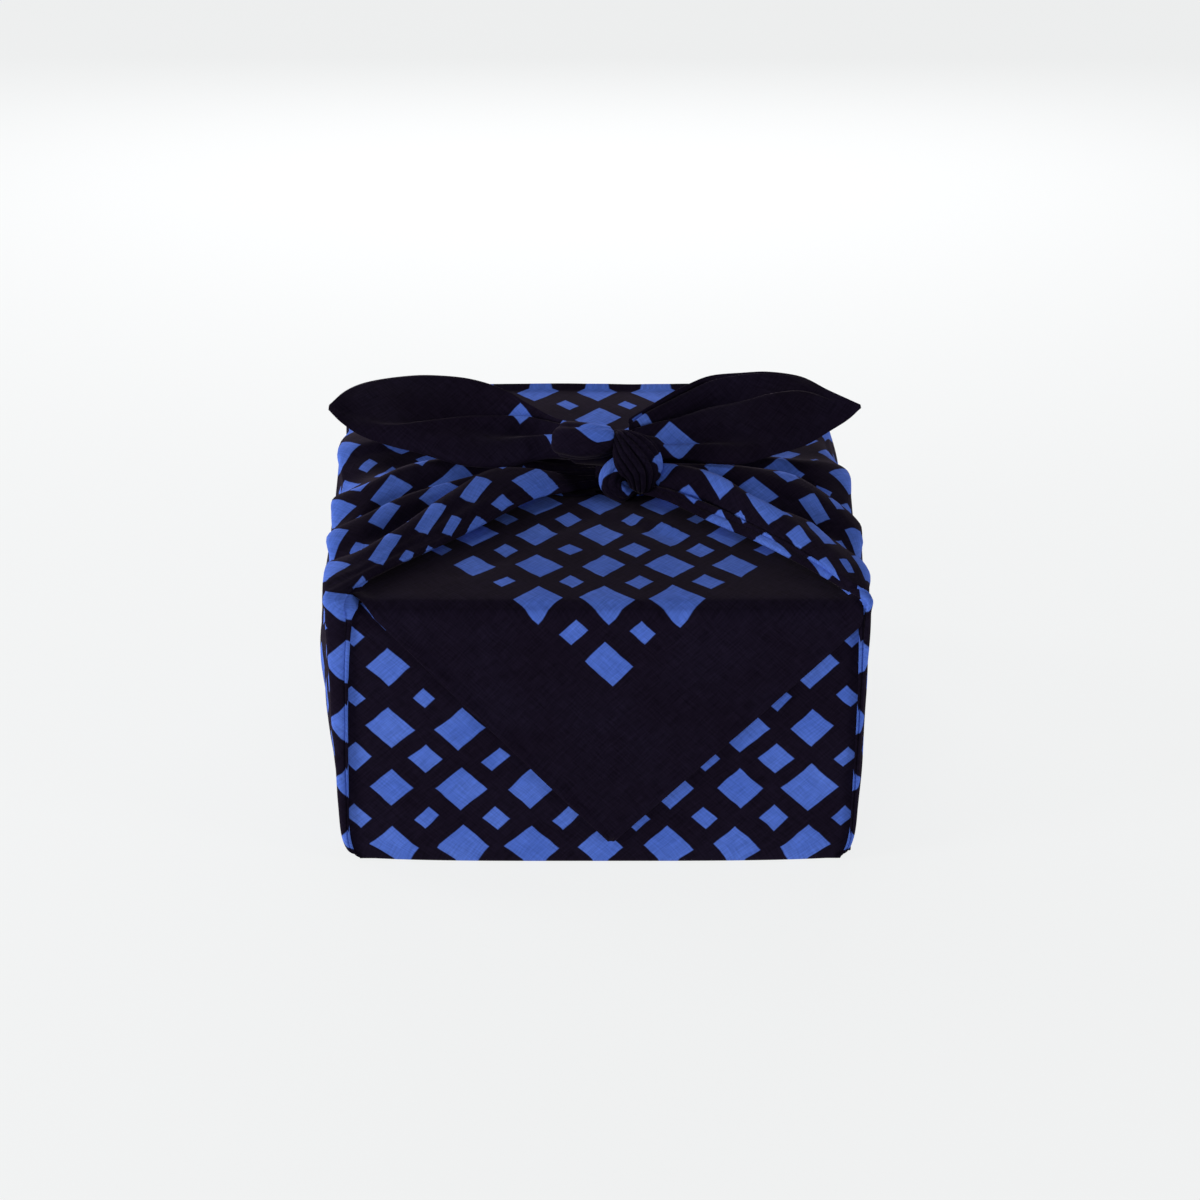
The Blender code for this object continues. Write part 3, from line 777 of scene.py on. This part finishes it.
def crease_relief(points, creases):
    """How far the creases lift the cloth, each a soft ridge or trough along a line seen from above."""
    relief = np.zeros(points.shape[:-1])
    for line, half_width, rise in creases:
        nearest = np.full(relief.shape, np.inf)
        for start, end in zip(np.array(line[:-1], float), np.array(line[1:], float)):
            run = end - start
            share = np.clip((points[..., :2] - start) @ run / run.dot(run), 0, 1)[..., None]
            nearest = np.minimum(nearest, np.linalg.norm(points[..., :2] - start - share * run, axis=-1))
        relief += rise * np.exp(-((nearest / half_width) ** 2))
    return relief * (points[..., 2] > 60)


def with_wrinkles(grid, places, free, side, creases):
    """The grid again, with its creases, and with soft wrinkles that gather toward the knot."""
    normal = grid_normals(grid)
    row, column = grid.shape[0] // 2, grid.shape[1] // 2
    if np.dot(normal[row, column], (1, 0, 0.5)) < 0:
        normal = -normal
    result = grid + normal * (crease_relief(grid, creases) * free)[..., None]
    for row in range(grid.shape[0]):
        for column in range(grid.shape[1]):
            away, along = places[row, column]
            near_knot = ease((away - GATHERS_START[0]) / GATHERS_START[1])
            tall = END_WAVE[0] * ripple(along, away, END_WAVE[1], 3.0 + side)
            gathers = END_GATHERS[0] + END_GATHERS[1] * near_knot
            tall += gathers * ripple(column * 3.0, away * 0.12, 6, 7.0 + side)
            begun = ease((away - WRINKLES_START[0]) / WRINKLES_START[1])
            result[row, column] += normal[row, column] * tall * free[row, column] * begun
    return result


def squares_clear_of_painted_shade(points, flat):
    """Which points have print: none where the middle of their square lies near the knot, so that the
    plain navy there is painted shade in the gathers.
    """
    step = PRINT_PITCH / MM * math.sqrt(2)
    p = np.round((flat[..., 0] + flat[..., 1]) / step)
    q = np.round((flat[..., 1] - flat[..., 0]) / step)
    cells = np.column_stack((p.ravel(), q.ravel()))
    _, cell, count = np.unique(cells, axis=0, return_inverse=True, return_counts=True)
    cell = cell.ravel()
    middle = np.bincount(cell, points[..., 0].ravel()) / count
    return (middle[cell] > PAINTED_SHADE_REACH).reshape(p.shape)


def make_end(cloth, side, folds, bulge, laps, creases):
    lines, crests = end_lines(folds, bulge, *laps)
    places = print_places(lines, crests, folds)
    free = np.ones(places.shape[:2] + (1,))
    free[["return" in name or "tuck" in name for name, _, _ in lines]] = 0.0
    table = np.concatenate((np.array([line for _, line, _ in lines]), places, free), axis=-1)
    grid = surface_through(table, STEPS_ALONG_END, STEPS_ACROSS_END)
    points, flat, free = grid[..., :3], grid[..., 3:5], np.clip(grid[..., 5], 0, 1)
    points = with_wrinkles(points, flat, free, side, creases)
    points[..., 2] = np.maximum(points[..., 2], BASE)
    # The print is taken off the squares near the knot: painted shade in the gathers.
    shown = squares_clear_of_painted_shade(points, flat)
    cloth.add_grid(points * (side, 1, 1), flat * (side, 1), outward=(side, 0, 0.5), shown=shown)


def make_tail(cloth, side, stations, lines):
    """A tail through its lines, with its lower edge folded under and a hem along its upper edge."""
    table, names = [], []
    low, high = np.array(lines[0][1:], float).T, np.array(lines[-1][1:], float).T
    for behind, rise in UNDER_FOLD:
        shrink = np.minimum(1.0, 0.5 * (high[:, 0] - low[:, 0]) / behind)
        shrink *= np.clip((low[-1, 1] - low[:, 1]) / 6, 0, 1)
        table.append(low + np.stack((behind * shrink, rise * shrink), axis=-1))
        names.append("under")
    for name, *line in lines:
        table.append(np.array(line, float).T)
        names.append(name)
    up, inner = table[-1], table[-2]
    hem = np.minimum(TAIL_HEM / np.maximum(np.linalg.norm(up - inner, axis=1), 1e-6), 0.7)[:, None]
    table.insert(-1, up + (inner - up) * hem)
    names.insert(-1, "hem")
    stations = np.array(stations)
    points = np.array([np.column_stack((stations, line)) for line in table])
    across = np.vstack((np.zeros(len(stations)), np.cumsum(steps_between(points), axis=0)))
    centre = names.index("valley")
    to_tip = reach_along(points[centre])[-1] - reach_along(points[centre])
    away = np.broadcast_to(HALF_DIAGONAL - to_tip, across.shape)
    table = np.concatenate((points, np.stack((away, across - across[centre]), axis=-1)), axis=-1)
    grid = surface_through(table, TAIL_STEPS_ALONG, TAIL_STEPS_ACROSS)
    points, flat = grid[..., :3], grid[..., 3:]
    normal = grid_normals(points)
    if normal[normal.shape[0] // 2, normal.shape[1] // 2][2] < 0:
        normal = -normal
    for row in range(points.shape[0]):
        for column in range(points.shape[1]):
            away, along = flat[row, column]
            free = ease((HALF_DIAGONAL - away - 4) / 30) * min(1.0, 0.25 + (len(points) - 1 - row) / 12)
            tall = TAIL_WAVE[0] * ripple(away, along, TAIL_WAVE[1], 11.0 + side)
            tall += TAIL_FINE_WAVE[0] * ripple(away * 0.35, along, TAIL_FINE_WAVE[1], 12.0 + side)
            from_knot = abs(points[row, column][0]) - stations[0]
            pleats = math.sqrt(abs(math.sin(row * 0.34 + 0.8 * ripple(from_knot, row, 14, side)))) - 0.7
            tall += TAIL_PLEATS[0] * pleats * ease(1 - from_knot / TAIL_PLEATS[1])
            points[row, column] += normal[row, column] * tall * free
    cloth.add_grid(points * (side, 1, 1), flat * (side, 1), outward=(0, 0, 1))


def make_strand(cloth, strand, seed):
    """A gathered bundle of cloth along a smooth line, with pleats that run along it."""
    line = curve_through(strand["centres"], STRAND_STEPS)
    width = curve_through([(value,) for value in strand["widths"]], STRAND_STEPS)[:, 0]
    thickness = curve_through([(value,) for value in strand["thicknesses"]], STRAND_STEPS)[:, 0]
    along = np.gradient(line, axis=0)
    along /= np.linalg.norm(along, axis=1)[:, None]
    reach = reach_along(line)
    away, across, onward = strand["place"]
    grid, places = [], []
    for number, (point, heading) in enumerate(zip(line, along)):
        share = number / (len(line) - 1)
        out = point - np.array(KNOT_MIDDLE)
        out -= heading * out.dot(heading)
        out /= np.linalg.norm(out)
        aside = np.cross(heading, out)
        close = min(1.0, 0.2 + 0.8 * min(share, 1 - share) / strand.get("turned_in", TURNED_IN))
        ring, flat = [], []
        for turn in range(strand["sides"]):
            angle = 2 * math.pi * turn / strand["sides"]
            drift = 0.8 * ripple(share * 3, angle * 1.5, 1.6, seed)
            pleat = math.sqrt(abs(math.cos(strand["pleats"] * angle / 2 + drift + seed))) - 0.75
            uneven = 0.6 + 0.8 * abs(ripple(angle * 2, share, 1.3, seed + 5))
            grow = 1 + strand["depth"] * pleat * uneven
            grow += 0.06 * ripple(angle * 8, reach[number], 9, seed)
            side = aside * width[number] * math.cos(angle)
            ring.append(point + (side + out * thickness[number] * math.sin(angle)) * grow * close)
            round_it = 1.15 * width[number] * (angle - math.pi / 2)
            flat.append((away + onward * reach[number], across + round_it))
        grid.append(ring)
        places.append(flat)
    grid, places = np.array(grid), np.array(places)
    outward = grid[len(grid) // 2, strand["sides"] // 2] - line[len(grid) // 2]
    first, last = strand["print_from"]
    angles = np.arange(strand["sides"]) * 360 / strand["sides"]
    shown = (angles >= first) & (angles <= last) & (reach[:, None] > strand.get("plain_start", 0))
    cloth.add_grid(grid, places, outward, closed=True, shown=shown.astype(float))


def make_knot(cloth):
    for number, strand in enumerate(KNOT_STRANDS.values()):
        make_strand(cloth, strand, 1.7 * number)


def solidify(piece, thickness):
    solid = piece.modifiers.new("thickness", "SOLIDIFY")
    solid.thickness = thickness * MM
    solid.offset = 0.0
    solid.use_even_offset = False
    bpy.ops.object.select_all(action="DESELECT")
    piece.select_set(True)
    bpy.context.view_layer.objects.active = piece
    bpy.ops.object.modifier_apply(modifier=solid.name)


class NodeMaker:
    """Short calls for the nodes of one material or node group."""

    def __init__(self, tree):
        self.tree = tree

    def node(self, kind, **settings):
        node = self.tree.nodes.new(kind)
        for key, value in settings.items():
            setattr(node, key, value)
        return node

    def feed(self, socket, value):
        if isinstance(value, bpy.types.NodeSocket):
            self.tree.links.new(value, socket)
        else:
            socket.default_value = value

    def filled(self, node, *values):
        for socket, value in zip(node.inputs, values):
            self.feed(socket, value)
        return node.outputs[0]

    def math(self, operation, *values):
        return self.filled(self.node("ShaderNodeMath", operation=operation), *values)

    def vector(self, x, y, z=0.0):
        return self.filled(self.node("ShaderNodeCombineXYZ"), x, y, z)

    def noise(self, vector, scale, detail=2.0, roughness=0.5):
        node = self.node("ShaderNodeTexNoise")
        self.feed(node.inputs["Vector"], vector)
        self.feed(node.inputs["Scale"], scale)
        self.feed(node.inputs["Detail"], detail)
        self.feed(node.inputs["Roughness"], roughness)
        return node.outputs["Fac"]

    def ramp(self, value, low, high, out_low=0.0, out_high=1.0):
        node = self.node("ShaderNodeMapRange", interpolation_type="SMOOTHSTEP")
        return self.filled(node, value, low, high, out_low, out_high)

    def mix_colour(self, factor, first, second, blend="MIX"):
        node = self.node("ShaderNodeMix", data_type="RGBA", blend_type=blend)
        self.feed(node.inputs["Factor"], factor)
        self.feed(node.inputs[6], first)
        self.feed(node.inputs[7], second)
        return node.outputs[2]


def print_mask(make, across, along):
    """The print, 1 where the cloth is printed and 0 where it is plain, and the places p and q along the
    cloth's two edges."""
    courses = []
    for operation, shaken in (("ADD", (across, along)), ("SUBTRACT", (along, across, 3.0))):
        course = make.math("MULTIPLY", make.math(operation, along, across), math.sqrt(0.5))
        uneven = make.math("SUBTRACT", make.noise(make.vector(*shaken), SHAKES_PER_METRE, 1.0), 0.5)
        course = make.math("ADD", course, make.math("MULTIPLY", uneven, EDGE_SHAKE))
        cell = make.math("MULTIPLY_ADD", course, 1 / PRINT_PITCH, 0.5)
        inside = make.math("MULTIPLY", make.math("SUBTRACT", make.math("FRACT", cell), 0.5), PRINT_PITCH)
        courses.append((course, make.math("FLOOR", cell), inside))
    (p, number_p, in_p), (q, number_q, in_q) = courses
    small = make.math("FLOORED_MODULO", make.math("ADD", number_p, number_q), 2.0)
    uneven = make.node("ShaderNodeTexWhiteNoise", noise_dimensions="3D")
    make.feed(uneven.inputs["Vector"], make.vector(number_p, number_q, 3.0))
    chance = make.node("ShaderNodeSeparateColor")
    make.feed(chance.inputs[0], uneven.outputs["Color"])
    trim_p, trim_q, slant = chance.outputs
    half_side = make.math("MULTIPLY_ADD", small, SMALL_HALF_SIDE - LARGE_HALF_SIDE, LARGE_HALF_SIDE)
    half_p = make.math("MULTIPLY_ADD", trim_p, -MOST_TRIM, half_side)
    half_q = make.math("MULTIPLY_ADD", trim_q, -MOST_TRIM, half_side)
    skew = make.math("MULTIPLY", make.math("SUBTRACT", slant, 0.5), MOST_SLANT)
    slanted = make.math("MULTIPLY_ADD", in_q, skew, in_p)
    past_p = make.math("SUBTRACT", make.math("ABSOLUTE", slanted), half_p)
    past_q = make.math("SUBTRACT", make.math("ABSOLUTE", in_q), half_q)
    square = make.ramp(make.math("MAXIMUM", past_p, past_q), EDGE_SOFTNESS, -EDGE_SOFTNESS)
    furthest = make.math("MAXIMUM", make.math("ABSOLUTE", number_p), make.math("ABSOLUTE", number_q))
    return make.math("MULTIPLY", square, make.math("LESS_THAN", furthest, PRINT_LAST_SQUARE + 0.5)), p, q


def printed_cotton():
    """Plain-woven cotton, dyed navy and printed in blue."""
    material = bpy.data.materials.new("printed_cotton")
    material.use_nodes = True
    tree = material.node_tree
    make = NodeMaker(tree)
    shader = tree.nodes["Principled BSDF"]
    place = make.node("ShaderNodeUVMap", uv_map="cloth_place")
    split = make.node("ShaderNodeSeparateXYZ")
    make.feed(split.inputs[0], place.outputs[0])
    across, along = split.outputs[0], split.outputs[1]
    square, p, q = print_mask(make, across, along)
    # The point attribute keeps the knot's print to each strand's given angles and reach, and takes the
    # print off the gathers at the knot, where the plain navy is painted shade.
    shown = make.node("ShaderNodeAttribute", attribute_name="print_layout_and_painted_shade")
    printed = make.math("MULTIPLY", square, make.ramp(shown.outputs["Fac"], 0.4, 0.6))

    flat = make.vector(across, along)
    wear = make.noise(flat, 28.0, 4.0, 0.6)
    slubs, waves = [], []
    for scale_p, scale_q, course in ((SLUB_ACROSS, SLUB_ALONG, p), (SLUB_ALONG, SLUB_ACROSS, q)):
        drawn_out = make.vector(make.math("MULTIPLY", p, scale_p), make.math("MULTIPLY", q, scale_q))
        slubs.append(make.noise(drawn_out, 1.0, 1.0))
        waves.append(make.math("SINE", make.math("MULTIPLY", course, 2 * math.pi / THREAD)))
    slub = make.math("ADD", *slubs)
    weave = make.math("MULTIPLY", *waves)

    navy = make.mix_colour(make.ramp(wear, 0.35, 0.75), NAVY, NAVY_WORN)
    blue = make.mix_colour(make.ramp(wear, 0.30, 0.75), BLUE, BLUE_PALE)
    grain = make.math("MULTIPLY_ADD", slub, 0.55, 0.45)
    blue = make.mix_colour(1.0, blue, make.vector(grain, grain, grain), "MULTIPLY")
    navy = make.mix_colour(1.0, navy, make.vector(slub, slub, slub), "MULTIPLY")
    make.feed(shader.inputs["Base Color"], make.mix_colour(printed, navy, blue))
    make.feed(shader.inputs["Roughness"], make.math("MULTIPLY_ADD", wear, 0.12, 0.78))

    height = make.math("MULTIPLY_ADD", slub, 0.8, make.math("MULTIPLY", weave, 0.5))
    bump = make.node("ShaderNodeBump")
    bump.inputs["Strength"].default_value = 0.35
    bump.inputs["Distance"].default_value = 0.00012
    make.feed(bump.inputs["Height"], height)
    make.feed(shader.inputs["Normal"], bump.outputs[0])
    shader.inputs["Specular IOR Level"].default_value = 0.0
    shader.inputs["Sheen Weight"].default_value = 0.05
    shader.inputs["Sheen Roughness"].default_value = 0.4
    shader.inputs["Sheen Tint"].default_value = (1.0, 0.84, 0.96, 1.0)
    return material


def studio_white():
    material = bpy.data.materials.new("studio_white")
    material.use_nodes = True
    shader = material.node_tree.nodes["Principled BSDF"]
    shader.inputs["Base Color"].default_value = (0.07, 0.071, 0.073, 1.0)
    shader.inputs["Roughness"].default_value = 0.9
    shader.inputs["Specular IOR Level"].default_value = 0.0
    shader.inputs["Emission Color"].default_value = (0.99, 1.0, 1.0, 1.0)
    shader.inputs["Emission Strength"].default_value = FLOOR_GLOW
    return material


def make_camera():
    camera = bpy.data.cameras.new("studio_camera")
    camera.sensor_width = 36.0
    camera.lens = CAMERA_LENS
    camera.shift_x, camera.shift_y = CAMERA_SHIFT
    camera.clip_start = 0.01
    view = bpy.data.objects.new("studio_camera", camera)
    level = math.cos(CAMERA_ELEVATION)
    down = math.sin(CAMERA_ELEVATION)
    forward = Vector((math.sin(CAMERA_YAW) * level, math.cos(CAMERA_YAW) * level, -down))
    view.location = CAMERA_TARGET - forward * CAMERA_DISTANCE
    upright = forward.to_track_quat("-Z", "Y")
    view.rotation_euler = (upright @ Quaternion((0.0, 0.0, 1.0), CAMERA_ROLL)).to_euler()
    bpy.context.scene.collection.objects.link(view)
    bpy.context.scene.camera = view


def make_stage():
    """A wide pale floor, soft lights round and over it, and a faint light from the room."""
    bpy.ops.object.select_all(action="DESELECT")
    bpy.ops.mesh.primitive_circle_add(vertices=96, radius=FLOOR_RADIUS, fill_type="NGON")
    floor = bpy.context.object
    floor.name = floor.data.name = "studio_floor"
    floor.location = (0, 0, -0.0002)
    floor.data.materials.append(studio_white())
    for name, place, width, height, power in SOFT_LIGHTS:
        light = bpy.data.lights.new(name, "AREA")
        light.shape = "RECTANGLE"
        light.size, light.size_y = width, height
        light.energy = power
        lamp = bpy.data.objects.new(name, light)
        lamp.location = place
        lamp.rotation_euler = (Vector(LIGHTS_AIM) - Vector(place)).to_track_quat("-Z", "Y").to_euler()
        bpy.context.scene.collection.objects.link(lamp)
    world = bpy.data.worlds.new("studio_room")
    world.use_nodes = True
    background = world.node_tree.nodes["Background"]
    background.inputs["Color"].default_value = (0.96, 0.985, 1.0, 1.0)
    background.inputs["Strength"].default_value = ROOM_LIGHT
    bpy.context.scene.world = world
    bpy.context.scene.view_settings.view_transform = "Standard"


make_camera()
make_stage()
cotton = printed_cotton()

sheet_cloth = ClothMesh()
make_belt(sheet_cloth)
make_ears(sheet_cloth)
make_end(sheet_cloth, -1, LEFT_FOLDS, LEFT_BULGE, (LEFT_LAP, LEFT_BACK_LAP), LEFT_CREASES)
make_end(sheet_cloth, 1, RIGHT_FOLDS, RIGHT_BULGE, (RIGHT_LAP, RIGHT_BACK_LAP), RIGHT_CREASES)
make_tail(sheet_cloth, -1, LEFT_TAIL_STATIONS, LEFT_TAIL)
make_tail(sheet_cloth, 1, RIGHT_TAIL_STATIONS, RIGHT_TAIL)
make_knot(sheet_cloth)
sheet = sheet_cloth.make("furoshiki_sheet")
sheet.data.materials.append(cotton)
solidify(sheet, CLOTH_THICKNESS)

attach(sheet, "root")
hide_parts("furoshiki_cloth")
